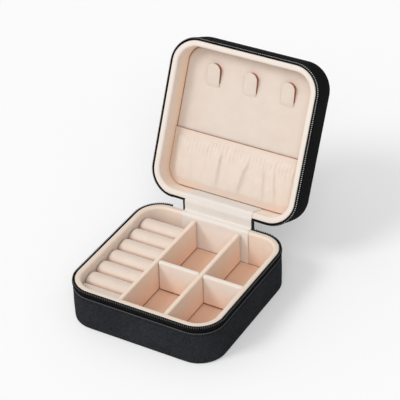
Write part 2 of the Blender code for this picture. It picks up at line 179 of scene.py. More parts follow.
def wall_x(y, depth):
    """How far out the wall at this depth stands in X, at a place in Y."""
    reach = HALF_SIDE - CORNER_RADIUS
    beyond = max(abs(y) - reach, 0.0)
    radius = CORNER_RADIUS - depth
    return reach + math.sqrt(max(radius * radius - beyond * beyond, 0.0))


def mix(a, b, share):
    return a + (b - a) * share


def ease(share):
    share = min(max(share, 0.0), 1.0)
    return share * share * (3 - 2 * share)


def wave(x, y, z, size):
    """Smooth noise between about -1 and 1 with features of that size."""
    return noise.noise(Vector((x, y, z)) / size)


def angles(turn, steps):
    """Even steps from nothing to a turn, both ends kept."""
    return [turn * step / steps for step in range(steps + 1)]


def drawn_in(from_end, reach, size):
    """How far a rounded end pulls in: its whole size at the end, and nothing past its reach."""
    return size * (1 - math.sqrt(max(1 - (1 - min(from_end / reach, 1)) ** 2, 0)))


def arc(centre, radius, start, end, steps):
    """Points on a circle in any plane, from one angle to another, in degrees."""
    made = []
    for step in range(steps + 1):
        angle = math.radians(mix(start, end, step / steps))
        made.append((centre[0] + radius * math.cos(angle), centre[1] + radius * math.sin(angle)))
    return made


# ---------------------------------------------------------------- meshes

class Shape:
    """Points and faces of one piece, before it becomes a mesh."""

    def __init__(self):
        self.points = []
        self.faces = []
        self.second = set()

    def row(self, points):
        first = len(self.points)
        self.points += [Vector(point) for point in points]
        return list(range(first, len(self.points)))

    def grid(self, rows, around=False, along=False):
        """Quads between rows of points; around closes each row, along joins last to first."""
        laid = [self.row(points) for points in rows]
        pairs = list(zip(laid, laid[1:]))
        if along:
            pairs.append((laid[-1], laid[0]))
        for one, two in pairs:
            last = len(one) if around else len(one) - 1
            for i in range(last):
                j = (i + 1) % len(one)
                self.faces.append((one[i], one[j], two[j], two[i]))
        return laid

    def bar(self, rows):
        """A closed bar through rows of points. Gives the numbers of its quads, without its ends."""
        first = len(self.faces)
        laid = self.grid(rows, around=True)
        self.faces += [tuple(laid[0]), tuple(laid[-1])]
        return range(first, len(self.faces) - 2)

    def disc(self, outline, rings, lift=lambda share: 0.0):
        """Fill an outline with rings that shrink to its middle."""
        middle = sum((Vector(p) for p in outline), Vector()) / len(outline)
        rows = []
        for ring in range(rings):
            share = 1 - ring / rings
            rows.append([mix(middle, Vector(p), share) + Vector((0, 0, lift(share)))
                         for p in outline])
        laid = self.grid(rows, around=True)
        centre = self.row([middle + Vector((0, 0, lift(0.0)))])[0]
        last = laid[-1]
        for i in range(len(last)):
            self.faces.append((last[i], last[(i + 1) % len(last)], centre))

    def tube(self, path, radius, sides=8, wide=1.0, spread=None):
        """A closed tube along points; wide stretches it sideways, along spread."""
        rows = []
        for i, point in enumerate(path):
            ahead = Vector(path[min(i + 1, len(path) - 1)]) - Vector(path[max(i - 1, 0)])
            ahead.normalize()
            side = Vector(spread) if spread is not None else ahead.orthogonal()
            side = (side - ahead * side.dot(ahead)).normalized()
            up = ahead.cross(side)
            size = radius[i] if isinstance(radius, (list, tuple)) else radius
            rows.append([Vector(point) + side * (math.cos(t) * size * wide) + up * (math.sin(t) * size)
                         for t in (2 * math.pi * k / sides for k in range(sides))])
        self.bar(rows)


def make_piece(name, shape, material, body, replaces=(), place=place_base, second=None):
    """Turn a shape into a named object that rides on a named body, or stays where it is built when given
    a pair of bodies, and hide the CAD nodes it stands for.
    """
    mesh = bpy.data.meshes.new(name)
    points = [place(point) * MM for point in shape.points]
    mesh.from_pydata(points, [], shape.faces)
    mesh.materials.append(material)
    if second:
        mesh.materials.append(second)
        for number in shape.second:
            mesh.polygons[number].material_index = 1
    bm = bmesh.new()
    bm.from_mesh(mesh)
    bmesh.ops.remove_doubles(bm, verts=bm.verts, dist=WELD * MM)
    bmesh.ops.recalc_face_normals(bm, faces=bm.faces)
    bm.to_mesh(mesh)
    bm.free()
    mesh.shade_smooth()
    mesh.set_sharp_from_angle(angle=SHARP_EDGE)
    piece = bpy.data.objects.new(name, mesh)
    bpy.context.scene.collection.objects.link(piece)
    if isinstance(body, str):
        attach(piece, body)
    else:
        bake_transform(piece)
    if replaces:
        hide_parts(*replaces)
    return piece


# ---------------------------------------------------------------- materials

class Graph:
    """A Principled material and short ways to add nodes to it."""

    def __init__(self, name, colour, roughness, **settings):
        self.material = bpy.data.materials.new(name)
        self.material.use_nodes = True
        self.tree = self.material.node_tree
        self.shader = self.tree.nodes["Principled BSDF"]
        self.shader.inputs["Base Color"].default_value = (*colour, 1)
        self.shader.inputs["Roughness"].default_value = roughness
        for label, value in settings.items():
            self.shader.inputs[label.replace("_", " ")].default_value = value
        self.where = self.tree.nodes.new("ShaderNodeTexCoord").outputs["Object"]

    def node(self, kind, inputs=(), **attributes):
        made = self.tree.nodes.new(kind)
        for label, value in attributes.items():
            setattr(made, label, value)
        for label, value in inputs:
            if isinstance(value, bpy.types.NodeSocket):
                self.tree.links.new(value, made.inputs[label])
            else:
                made.inputs[label].default_value = value
        return made

    def noise(self, size, detail=2.0, roughness=0.5):
        """Noise with features of that size, in millimetres."""
        return self.node("ShaderNodeTexNoise", (("Vector", self.where), ("Scale", 1 / (size * MM)),
                         ("Detail", detail), ("Roughness", roughness))).outputs["Fac"]

    def cells(self, size, stretch=None):
        where = self.where
        if stretch:
            where = self.node("ShaderNodeMapping", (("Vector", where), ("Scale", stretch))).outputs[0]
        made = self.node("ShaderNodeTexVoronoi", (("Vector", where), ("Scale", 1 / (size * MM))))
        return made.outputs["Distance"]

    def ramp(self, value, low, high, start=0.0, end=1.0):
        """Map a value onto two colours or two greys."""
        made = self.node("ShaderNodeValToRGB", (("Fac", value),))
        stops = made.color_ramp.elements
        stops[0].position, stops[1].position = start, end
        stops[0].color, stops[1].color = (*low, 1), (*high, 1)
        return made.outputs["Color"]

    def range(self, value, low, high):
        return self.node("ShaderNodeMapRange", (("Value", value), ("To Min", low),
                         ("To Max", high))).outputs[0]

    def add(self, one, two, share=1.0):
        scaled = self.node("ShaderNodeMath", ((0, two), (1, share)), operation="MULTIPLY").outputs[0]
        return self.node("ShaderNodeMath", ((0, one), (1, scaled)), operation="ADD").outputs[0]

    def drive(self, label, value):
        self.tree.links.new(value, self.shader.inputs[label])

    def bump(self, height, strength, depth):
        made = self.node("ShaderNodeBump", (("Height", height), ("Strength", strength),
                         ("Distance", depth * MM)))
        self.tree.links.new(made.outputs["Normal"], self.shader.inputs["Normal"])


def velvet(name, light, dark, brushed, painted_low_tone=None, half=None, low=0.0, high=0.0):
    """Short pile: broad brushed patches, fine specks, and a soft sheen. Given a painted low tone,
    the pile turns to it downwards between two heights above the half's outer face: painted
    shade where the tone is deeper, painted light where it is paler."""
    graph = Graph(name, light, 0.92, Sheen_Weight=0.4, Sheen_Roughness=0.5,
                  Sheen_Tint=(1.0, 0.98, 0.96, 1), Specular_IOR_Level=0.1)
    patches = graph.noise(brushed, 3.0)
    pile = graph.noise(0.35, 2.0, 0.7)
    colour = graph.ramp(graph.add(patches, pile, 0.35), dark, light, 0.45, 0.85)
    if painted_low_tone:
        foot = half.place((0, 0, 0))
        axis = half.place((0, 0, 1)) - foot
        height = graph.node("ShaderNodeVectorMath", ((0, graph.where), (1, axis)),
                            operation="DOT_PRODUCT").outputs["Value"]
        start = foot.dot(axis)
        share = graph.node("ShaderNodeMapRange", (("Value", height), ("From Min", (start + low) * MM),
                           ("From Max", (start + high) * MM), ("To Min", 1.0),
                           ("To Max", 0.0))).outputs[0]
        colour = graph.node("ShaderNodeMix", ((0, share), (6, colour), (7, (*painted_low_tone, 1))),
                            data_type="RGBA").outputs[2]
    graph.drive("Base Color", colour)
    graph.bump(graph.add(pile, patches, 0.6), 0.2, 0.2)
    return graph.material


def leather(name, size=0.75, dark=(0.010, 0.0103, 0.0118), light=(0.031, 0.0322, 0.0365)):
    """Black pebbled leather: small cells with creases between them."""
    graph = Graph(name, (0.006, 0.006, 0.007), 0.5, Specular_IOR_Level=0.004)
    cells = graph.cells(size)
    pores = graph.noise(0.22, 2.0, 0.6)
    grain = graph.noise(size * 1.2, 3.0, 0.7)
    broad = graph.noise(14.0, 3.0)
    mottle = graph.add(graph.add(grain, broad, 0.35), cells, 0.2)
    graph.drive("Base Color", graph.ramp(mottle, dark, light, 0.52, 1.0))
    graph.drive("Roughness", graph.range(graph.add(broad, pores, 0.4), 0.42, 0.66))
    graph.bump(graph.add(cells, pores, 0.35), 0.55, 0.16)
    return graph.material


def woven(name, colour, pitch=0.45):
    """Zip tape: rows of tight weave."""
    graph = Graph(name, colour, 0.8, Specular_IOR_Level=0.03)
    cells = graph.cells(pitch, stretch=(1.0, 1.0, 0.55))
    broad = graph.noise(4.0)
    graph.drive("Base Color", graph.ramp(graph.add(cells, broad, 0.4),
                [1.5 * c for c in colour], [0.6 * c for c in colour], 0.2, 1.0))
    graph.bump(cells, 0.6, 0.12)
    return graph.material


def hard(name, colour, low, high, metallic=0.0, grain=0.5):
    """Moulded or enamelled surface with a slightly uneven gloss."""
    graph = Graph(name, colour, low, Metallic=metallic)
    worn = graph.noise(grain * 6, 3.0)
    graph.drive("Roughness", graph.range(worn, low, high))
    graph.bump(graph.noise(grain, 2.0), 0.12, 0.03)
    return graph.material


def board(name):
    """Grey pulp board with short fibres."""
    graph = Graph(name, (0.33, 0.30, 0.26), 0.9)
    fibres = graph.noise(1.4, 4.0, 0.7)
    graph.drive("Base Color", graph.ramp(fibres, (0.24, 0.21, 0.18), (0.40, 0.37, 0.32), 0.3, 0.75))
    graph.bump(fibres, 0.4, 0.1)
    return graph.material


def paper(name):
    """Pale sweep that glows a little, so that shadows on it stay light."""
    graph = Graph(name, (0.75, 0.75, 0.75), 0.85, Specular_IOR_Level=0.1, Emission_Strength=0.25,
                  Emission_Color=(1, 1, 1, 1))
    graph.drive("Base Color", graph.ramp(graph.noise(120.0), (0.74, 0.74, 0.74), (0.75, 0.75, 0.75)))
    return graph.material


# One leather and one velvet, toned piece by piece: part of each piece's light and shade is painted
# into its material. A velvet's numbers are its light and dark pile and the size of its brushed
# patches, then the painted tone low down in its half (painted shade, painted light on the spine
# strip), and the two heights between which the pile turns to it.
LEATHER = leather("black_leather")
# The base's folded leather edge is lighter grey: a painted highlight where the fold faces the light.
EDGE_HIGHLIGHT = leather("leather_edge_painted_highlight", 0.5, (0.06, 0.06, 0.064), (0.12, 0.12, 0.125))
# The lid's leather is darker than the base's: painted shade. Its folded edge is a little lighter than
# the rest of it: a dimmer painted highlight.
LID_EDGE = leather("lid_leather_edge", 0.5, (0.012, 0.012, 0.013), (0.025, 0.025, 0.027))
LID_LEATHER = leather("black_lid_leather", 0.75, (0.0042, 0.0041, 0.0041), (0.0165, 0.016, 0.0157))
SPINE_LEATHER_LOOK = leather("black_spine_leather", 0.65)
LID_VELVET = velvet("cream_velvet_lid", (0.74, 0.665, 0.60), (0.72, 0.64, 0.57), 9.0,
                    (0.95, 0.69, 0.50), LID, 5.5, 18.6)
BASE_VELVET = velvet("cream_velvet_base", (0.80, 0.675, 0.57), (0.78, 0.65, 0.54), 9.0,
                     (0.84, 0.625, 0.485), BASE, 4.0, 19.0)
STRIP_VELVET = velvet("cream_velvet_strip", (0.725, 0.68, 0.635), (0.705, 0.655, 0.605), 7.0,
                      (0.82, 0.745, 0.675), BASE, 20.0, 29.0)
# The panel's pile turns darker on its rounded edge: painted shade.
PAD_VELVET = velvet("cream_velvet_pads", (0.665, 0.58, 0.51), (0.645, 0.555, 0.485), 7.0,
                    (0.66, 0.44, 0.32), LID, PANEL_FACE - 0.8, PANEL_FACE - 0.2)
# The rolls' pile turns dark brown low down: painted shade in the creases.
ROLL_VELVET = velvet("cream_velvet_rolls", (0.745, 0.63, 0.545), (0.72, 0.60, 0.51), 7.0,
                     (0.50, 0.27, 0.18), BASE, 18.9, 21.5)
FLOOR_VELVET = velvet("cream_velvet_floor", (0.81, 0.705, 0.615), (0.79, 0.68, 0.585), 7.0,
                      (0.79, 0.535, 0.39), BASE, 4.0, 19.0)
BOARD_VELVET = velvet("cream_velvet_boards", (0.86, 0.71, 0.585), (0.84, 0.685, 0.555), 7.0,
                      (0.89, 0.57, 0.40), BASE, 4.0, 23.0)
CROSS_VELVET = velvet("cream_velvet_cross", (0.80, 0.73, 0.66), (0.78, 0.70, 0.625), 7.0,
                      (0.86, 0.62, 0.48), BASE, 4.0, 20.0)
# The pocket's pile turns darker where the cloth lies low on the panel, as between folds and along its
# edges: painted shade.
POCKET_VELVET = velvet("cream_velvet_pocket", (0.71, 0.61, 0.535), (0.68, 0.58, 0.50), 5.0,
                       (0.66, 0.50, 0.40), LID, PANEL_FACE + 0.2, PANEL_FACE + 1.7)
# Brown velvet under and beside the hook tongues: painted shadow.
SHADE_UNDER_TONGUE = velvet("painted_shade_under_tongue", (0.42, 0.17, 0.085), (0.36, 0.135, 0.065), 3.0)
# Dark brown velvet as painted shade: cords in the gaps round the pads, the dividers' feet and ends, and
# the rolls' ends by the wall.
SEAM = velvet("seam_shade", (0.34, 0.14, 0.07), (0.28, 0.11, 0.055), 3.0)
TAPE = woven("zip_tape_weave", (0.0075, 0.0075, 0.0078))
COIL = hard("zip_coil_nylon", (0.008, 0.008, 0.009), 0.30, 0.45)
# White and grey faces on the teeth are painted glints: bright on the lid, dim on the base.
TOOTH_GLINT = hard("painted_glint_on_teeth", (1.0, 1.0, 1.0), 0.25, 0.40)
DIM_TOOTH_GLINT = hard("dim_painted_glint_on_teeth", (0.09, 0.09, 0.092), 0.25, 0.40)
THREAD = woven("black_thread", (0.016, 0.016, 0.017), 0.25)
# Dark rose-brown cord along the pocket's mouth, darker than the pocket's velvet.
MOUTH_CORD = woven("dark_rose_mouth_cord", (0.42, 0.23, 0.16), 0.25)
NICKEL = hard("dark_nickel", (0.30, 0.30, 0.31), 0.20, 0.34, metallic=1.0, grain=1.0)
GREYBOARD = board("greyboard")


# ---------------------------------------------------------------- both halves

def cover_profile(top, edge=1.5, bow=0.18, fold=0.45):
    """Leather from under the edge, up the wall, over the folded rim and down inside."""
    profile = [(edge * (1 - math.sin(a)), edge * (1 - math.cos(a))) for a in angles(math.pi / 2, 7)]
    for step in range(1, 13):
        share = step / 12
        profile.append((-bow * math.sin(math.pi * share), mix(edge, top - 2.3, share)))
    profile += [(0.03, top - 1.95), (0.13, top - 1.6), (0.03, top - 1.25), (-0.04, top - 0.95)]
    profile += [(fold - (fold + 0.04) * math.cos(a), top - fold + fold * math.sin(a))
                for a in angles(math.pi, 10)]
    profile += [(2 * fold + 0.04, 4.0), (1.1, 1.2)]
    return profile


def make_cover(half):
    top = half.height - ZIP_BAND
    stops = stations()
    profile = cover_profile(top)
    shape = Shape()
    rows = [[at(stop, depth, height) for depth, height in profile] for stop in stops]
    shape.grid(rows, along=True)
    # The folded edge takes a second, lighter leather: painted highlight, dimmer on the lid.
    folded = [i for i, (depth, height) in enumerate(profile) if height > top - 0.28]
    shape.second = {number for number in range(len(shape.faces))
                    if number % (len(profile) - 1) in folded[:-1]}
    crown = -0.55 if half is LID else 0.0
    shape.disc([row[0] for row in rows], 14, lambda share: crown * (1 - share * share) ** 2)
    shape.disc([row[-1] for row in rows], 3)
    # The lid's leather is a darker copy of the base's: painted shade.
    look = LEATHER if half is BASE else LID_LEATHER
    make_piece(half.prefix + "_leather", shape, look, half.body,
               [half.prefix + "_cover"], half.place, second=EDGE_HIGHLIGHT if half is BASE else LID_EDGE)


def make_cover_stitches(half, length=2.5, gap=0.8, radius=0.17):
    """Thread that holds the zip tape, sunk in its groove below the folded edge."""
    height = half.height - ZIP_BAND - 1.6
    stops = zip_stations((length + gap) / 6)
    shape = Shape()
    for first in range(0, len(stops) - 5, 6):
        path = []
        for i in range(6):
            sink = 0.02 + 0.22 * (abs(i - 2.5) / 2.5) ** 3
            path.append(at(stops[first + i], sink, height))
        shape.tube(path, radius, 6)
    make_piece(half.prefix + "_stitches", shape, THREAD, half.body, (), half.place)


def make_lining(half):
    """Velvet wall that turns over the board's edge as a soft rounded lip."""
    rim = half.height
    inner = LINING_DEPTH
    profile = [(inner + 1.5, 2.76), (inner + 1.5, 2.86), (inner, 2.9)]
    profile += [(inner, mix(2.9, rim - 2.2, share / 10)) for share in range(1, 11)]
    profile += [(inner - 1.5 + 1.5 * math.cos(a), rim - 1.5 + 1.5 * math.sin(a))
                for a in angles(math.pi / 2, 7)]
    profile += [(inner - 2.1, rim + 0.03), (inner - 2.7, rim + 0.02)]
    profile += [(LIP_OUTER + LIP_ROUND - LIP_ROUND * math.sin(a),
                 rim - LIP_ROUND + LIP_ROUND * math.cos(a))
                for a in angles(math.pi * 0.62, 7)]
    profile += [(LIP_OUTER + 0.55, rim - 0.9), (3.7, rim - 0.7), (3.7, 2.76)]

    shape = Shape()
    rows = []
    for stop in stations(18, 22):
        row = []
        for depth, height in profile:
            spot = at(stop, depth, height)
            soft = wave(spot.x, spot.y, height * 0.6, 9.0) * 0.10
            upper = ease((height - (rim - 3)) / 2)
            lifted = soft * 0.5 * upper
            row.append(at(stop, depth - soft * (1 - upper) + lifted, height + lifted))
        rows.append(row)
    shape.grid(rows, around=True, along=True)
    look = BASE_VELVET if half is BASE else LID_VELVET
    make_piece(half.prefix + "_velvet_wall", shape, look, half.body,
               [half.prefix + "_lining"], half.place)


def make_tape(half):
    """Zip tape that stands up behind the leather's folded edge."""
    rim = half.height
    profile = [(1.15, rim - 11), (1.13, rim - 5), (1.12, rim - 3), (1.12, rim - 1.0), (1.35, rim - 0.85),
               (1.55, rim - 1.0), (1.58, rim - 5), (1.58, rim - 11)]
    stops = zip_stations(2.4)
    shape = Shape()
    rows = [[at(stop, depth, height) for depth, height in profile] for stop in stops]
    shape.bar(rows)
    ends = [(ZIP_RIGHT - 0.6, SPINE_HALF + 0.12)]
    if half is LID:
        ends.append((ZIP_LEFT - 0.4, -SPINE_HALF - 0.12))
    for start, end in ends:
        rows = []
        for i in range(13):
            x = mix(start, end, i / 12)
            dip = 0.15 * math.sin(math.pi * i / 12)
            rows.append([(x, HALF_SIDE - depth, height - dip * (height > rim - 3)) for depth, height in
                         ((0.12, rim - 6), (0.10, rim - 0.2), (0.5, rim + 0.22), (0.95, rim + 0.1),
                          (1.1, rim - 6))])
        shape.bar(rows)
    make_piece(half.prefix + "_tape", shape, TAPE, half.body,
               [half.prefix + "_zip_tape"], half.place)


def make_coil(half):
    """Zip teeth: dark posts whose outer faces carry a painted glint, dimmer on the base, and the cords
    behind them.
    """
    rim = half.height
    posts, cords = Shape(), Shape()
    for stop in zip_stations(ZIP_PITCH):
        along = Vector((-stop.ny, stop.nx, 0))
        first = len(posts.faces)
        posts.tube([at(stop, 0.14, rim + rise) for rise in (-0.95, -0.75, -0.35, 0.0, 0.22, 0.34)],
                   [0.22, 0.27, 0.28, 0.28, 0.25, 0.12], 12, spread=along)
        for number in range(first, len(posts.faces)):
            corners = [posts.points[i] for i in posts.faces[number]]
            middle = sum(corners, Vector()) / len(corners)
            outward = (middle.x - stop.cx) * stop.nx + (middle.y - stop.cy) * stop.ny
            aside = abs(middle.y * stop.nx - stop.cy * stop.nx - (middle.x - stop.cx) * stop.ny)
            # Faces near the outside, up from the foot and near the middle take the painted glint.
            outer = CORNER_RADIUS - outward < GLINT_DEPTH
            if outer and middle.z > rim - GLINT_FOOT and aside < GLINT_HALF:
                posts.second.add(number)
    for depth, height, radius in ((0.90, rim - 0.25, 0.46), (-0.05, rim - 1.35, 0.30),
                                  (0.0, rim - 1.95, 0.30), (0.05, rim - 2.6, 0.26)):
        path = [at(stop, depth - 0.07 * (i % 2), height)
                for i, stop in enumerate(zip_stations(ZIP_PITCH / 2))]
        cords.tube(path, radius, 8, spread=(0, 0, 1))
    make_piece(half.prefix + "_teeth", posts, COIL, half.body,
               [half.prefix + "_zip_coil"], half.place, second=TOOTH_GLINT if half is LID else DIM_TOOTH_GLINT)
    make_piece(half.prefix + "_coil_cords", cords, TAPE, half.body, (), half.place)


def make_seam(half, height):
    """A dark brown cord of painted shade that closes the gap between the velvet wall and the pad or
    panel.
    """
    shape = Shape()
    rows = []
    for stop in stations(14, 20):
        rows.append([at(stop, 5.26 + 0.2 * math.cos(a), height + 0.25 * math.sin(a))
                     for a in (math.pi * k / 3 for k in range(6))])
    shape.grid(rows, around=True, along=True)
    make_piece(half.prefix + "_seam", shape, SEAM, half.body, (), half.place)


# ---------------------------------------------------------------- inside the base

def pad_shape(edge, stops, rings):
    """A pad that fills a half's plan, from its foot over a rounded edge to its face."""
    profile = [(PAD_DEPTH, PAD_FOOT)] + edge
    rows = [[at(stop, depth, height) for depth, height in profile] for stop in stops]
    shape = Shape()
    shape.grid(rows, along=True)
    shape.disc([row[-1] for row in rows], rings)
    shape.disc([row[0] for row in rows], 2)
    return shape


def make_floor():
    """Velvet floor of the base."""
    edge = [(PAD_DEPTH, FLOOR_TOP - 0.4), (5.55, FLOOR_TOP - 0.12), (5.85, FLOOR_TOP)]
    shape = pad_shape(edge, stations(12, 16), 16)
    make_piece("floor_velvet", shape, FLOOR_VELVET, "base", ["floor_pad"])


def board_rows(start, end, half_wall, low, high, seed):
    """Rows of a velvet-covered board that stands on edge, from start to end along X."""
    edge, step = 0.85, 1.6
    spots = [0.0, 0.12, 0.35, 0.75]
    length = end - start
    count = max(int((length - 2) / step), 2)
    spots += [mix(1.2, length - 1.2, i / count) for i in range(count + 1)]
    spots += [length - 0.75, length - 0.35, length - 0.12, length]
    rows = []
    for spot in spots:
        from_end = min(spot, length - spot)
        pinch = drawn_in(from_end, edge, edge)
        wall = half_wall - pinch
        top = high - pinch * 0.8
        rise = [(wall, low), (wall, low + 0.9), (wall, mix(low, top, 0.25)), (wall, mix(low, top, 0.5)),
                (wall, mix(low, top, 0.75)), (wall, top - edge - 0.5)]
        round_off = min(edge, wall)
        bend = [(wall - round_off + round_off * math.cos(a), top - round_off + round_off * math.sin(a))
                for a in angles(math.pi / 2, 6)]
        one_side = rise + bend
        section = one_side + [(-w, h) for w, h in reversed(one_side)]
        row = []
        for out, height in section:
            along = start + spot
            soft = 0.07 * wave(along, out * 2, height + seed, 6.0)
            out += math.copysign(soft, out)
            row.append((along, out, height))
        rows.append(row)
    return rows


def make_dividers():
    """The fixed divider beside the rings, and the loose pair halved over each other."""
    parts = []
    for name, body in (("ring_divider", "base"), ("middle_divider", "dividers")):
        low, high = node_box(name)
        middle_x, half_wall = (low.x + high.x) / 2, (high.x - low.x) / 2
        parts.append((name, body, high.z, [("Y", low.y - 0.15, high.y, middle_x)]))
    low, high = node_box("cross_divider")
    y, notch = (low.y + high.y) / 2, half_wall + 0.08
    parts.append(("cross_divider", "dividers", high.z,
                  [("X", low.x - 0.05, middle_x - notch, y), ("X", middle_x + notch, high.x + 0.05, y)]))
    for seed, (name, body, top, runs) in enumerate(parts):
        shape = Shape()
        for axis, start, end, across in runs:
            rows = board_rows(start, end, half_wall, FLOOR_TOP + CLEAR, top, seed * 31)
            if axis == "X":
                rows = [[(x, w + across, h) for x, w, h in row] for row in rows]
            else:
                rows = [[(across - w, y_at, h) for y_at, w, h in row] for row in rows]
            around = len(rows[0])
            for place, number in enumerate(shape.bar(rows)):
                pair, side = divmod(place, around)
                at_end = pair < 2 or pair > len(rows) - 4
                crest = max(shape.points[i].z for i in shape.faces[number])
                # Painted shade: faces along the foot, and end faces lower than SHADED_BELOW under the
                # top, take the seam's dark velvet.
                if side in (0, around - 2, around - 1) or (at_end and crest < top - SHADED_BELOW):
                    shape.second.add(number)
        look = CROSS_VELVET if axis == "X" else BOARD_VELVET
        make_piece(name + "_velvet", shape, look, body, [name], second=SEAM)


def make_ring_bed():
    """Velvet over the foam bed that the rolls lie on, seen behind the last roll."""
    low, high = node_box("ring_bed")
    edge = 0.7
    rows = []
    for i in range(61):
        y = mix(low.y + 0.1, high.y, i / 60)
        left, right = -wall_x(y, LINING_DEPTH + 0.32), high.x
        section = [(left, low.z), (left, mix(low.z, high.z, 0.5)), (left, high.z - edge)]
        section += [(left + edge - edge * math.cos(a), high.z - edge + edge * math.sin(a))
                    for a in angles(math.pi / 2, 4)[1:]]
        section += [(mix(left + edge, right - edge, k / 10), high.z) for k in range(1, 11)]
        section += [(right - edge + edge * math.sin(a), high.z - edge + edge * math.cos(a))
                    for a in angles(math.pi / 2, 4)[1:]]
        section += [(right, low.z)]
        rows.append([(x, y, z + 0.06 * wave(x, y, z, 4.0) * (z > high.z - edge)) for x, z in section])
    shape = Shape()
    shape.bar(rows)
    bed = make_piece("ring_bed_velvet", shape, FLOOR_VELVET, "base", ["ring_bed"])


def make_rolls():
    """Foam rolls covered in velvet, with a tight crease between neighbours: the pile turns to a dark
    painted shade low down, and the end by the wall takes painted shade.
    """
    base_z = node_box("ring_bed")[1].z + 0.1
    for number in range(1, 8):
        name = f"ring_roll_{number}"
        low, high = node_box(name)
        centre = high.y - ROLL_RADIUS
        half = ROLL_RADIUS + 0.08
        left, right = -HALF_SIDE + LINING_DEPTH + ROLL_GAP, high.x
        length = right - left
        shape = Shape()
        rows = []
        spots = [0.0, 0.15, 0.45, 0.9, 1.5, 2.3, 3.1]
        spots += [mix(4.0, length - 1.5, i / 14) for i in range(15)]
        spots += [length - 0.8, length - 0.35, length - 0.1, length]
        for spot in spots:
            pinch = drawn_in(spot, 3.4, 2.2) + drawn_in(length - spot, 0.8, 0.8)
            row = []
            crest = high.z - pinch * 0.9
            shoulder = crest - half
            for step in range(5):
                row.append((half - pinch * 0.3, mix(base_z, shoulder, step / 5)))
            for step in range(25):
                a = math.pi * step / 24
                flat = 1 + 0.035 * math.sin(2 * a) ** 2
                row.append(((half - pinch * 0.3) * math.cos(a) * flat,
                            shoulder + half * math.sin(a) * flat))
            for step in range(5):
                row.append((-half + pinch * 0.3, mix(shoulder, base_z, (step + 1) / 5)))
            placed = []
            for y, z in row:
                x = left + spot
                soft = 0.09 * wave(x * 0.6, y * 0.8 + number * 17, z * 0.5, 8.0)
                soft += 0.02 * wave(x, y + number * 9, z, 2.2)
                spread = 1 + soft / half
                yy = min(max(y * spread, -half - 0.02), half + 0.02) + centre
                yy = max(yy, -HALF_SIDE + LINING_DEPTH + CLEAR)
                limit = -wall_x(yy, LINING_DEPTH + ROLL_GAP)
                placed.append((max(x, limit + spot * 0.6) if spot < 4 else x, yy,
                               z + soft * max(0.0, (z - shoulder) / half)))
            rows.append(placed)
        quads = shape.bar(rows)
        # The left end's first faces and its cap take the seam's painted shade.
        shape.second = {*quads[:2 * len(rows[0])], quads.stop}
        roll = make_piece(name + "_velvet", shape, ROLL_VELVET, "base", [name],
                          second=SEAM)


# ---------------------------------------------------------------- inside the lid

def make_panel():
    """Padded velvet panel, sunk in the lid; its rounded edge turns to painted shade, and the dark cord
    of painted shade from make_seam runs round it.
    """
    edge = [(PAD_DEPTH, PANEL_FACE - 1.1), (5.5, PANEL_FACE - 0.7), (5.75, PANEL_FACE - 0.35),
            (6.2, PANEL_FACE - 0.12), (6.9, PANEL_FACE - 0.03), (8.0, PANEL_FACE)]
    shape = pad_shape(edge, stations(14, 26), 22)
    for point in shape.points:
        if point.z > PANEL_FACE - 0.2:
            point.z += 0.10 * wave(point.x, point.y, 3.0, 11.0) + 0.05 * wave(point.x, point.y, 9.0, 4.0)
    panel = make_piece("lid_panel_velvet", shape, PAD_VELVET, "lid", ["lid_panel"],
                       place_lid)


def make_hooks():
    """Velvet tongues over a brown sheet of painted shadow, their undersides painted shade too:
    sunk in the panel at the root, half-round and lifting at the free end."""
    width, root, tip, thick = 8.6, -19.9, -35.6, 0.35
    half = width / 2
    length = root - tip
    spots = [length * i / 20 for i in range(16)]
    spots += [length - half * (1 - math.sin(math.pi / 2 * i / 12)) for i in range(2, 13)]
    spots = sorted(set(round(spot, 3) for spot in spots))
    for column, name in ((-1, "hook_left"), (0, "hook_middle"), (1, "hook_right")):
        rows, patch = [], []
        across = column * HOOK_SPACING + HOOK_MIDDLE
        for spot in spots:
            share = spot / length
            beyond = max(spot - (length - half), 0.0)
            reach = math.sqrt(max(half * half - beyond * beyond, 0.06))
            lift = -0.8 + 0.8 * ease(share / 0.2) + 3.3 * share ** 1.15
            top = [(reach * u, lift + thick + 0.25 * (1 - u * u) - 0.10 * u ** 8)
                   for u in (-1 + 2 * k / TONGUE_STEPS for k in range(TONGUE_STEPS + 1))]
            under = [(reach * 0.97 * u, lift) for u in (1 - 2 * k / 8 for k in range(9))]
            rows.append([(across + x, root - spot, PANEL_FACE + h) for x, h in top + under])
            # A brown sheet on the panel under each tongue, wider to the right: painted shadow.
            if spot > 3.2:
                wide = reach + 0.8 * (1 - share)
                patch.append([(across + x, root - spot, PANEL_FACE + h) for x, h in
                              ((-reach, -0.3), (-0.95 * reach, 0.2), (wide - 0.2, 0.2), (wide, -0.3))])
        shape = Shape()
        # The tongue's underside and the sheet take the brown painted shade.
        for index, group in enumerate((rows, patch)):
            around = len(group[0])
            shape.second |= {number for place, number in enumerate(shape.bar(group))
                             if index or place % around >= TONGUE_STEPS}
        make_piece(name + "_velvet", shape, PAD_VELVET, "lid", [name], place_lid,
                   second=SHADE_UNDER_TONGUE)


# Each long fold's place in X, its lean, width and height, and how far down it starts.
POCKET_FOLDS = ((-30, 0.05, 4.0, 0.35, 8), (-20, -0.05, 3.5, 0.3, 10), (-10.5, -0.05, 5.0, 1.6, 6),
                (-3, 0.0, 4.0, 0.3, 12), (6.5, -0.22, 5.6, 1.9, 7), (14, 0.04, 3.4, 0.3, 12),
                (20.5, 0.10, 4.6, 1.5, 7), (28, 0.16, 4.2, 1.3, 8), (35, 0.05, 3.0, 0.4, 8))


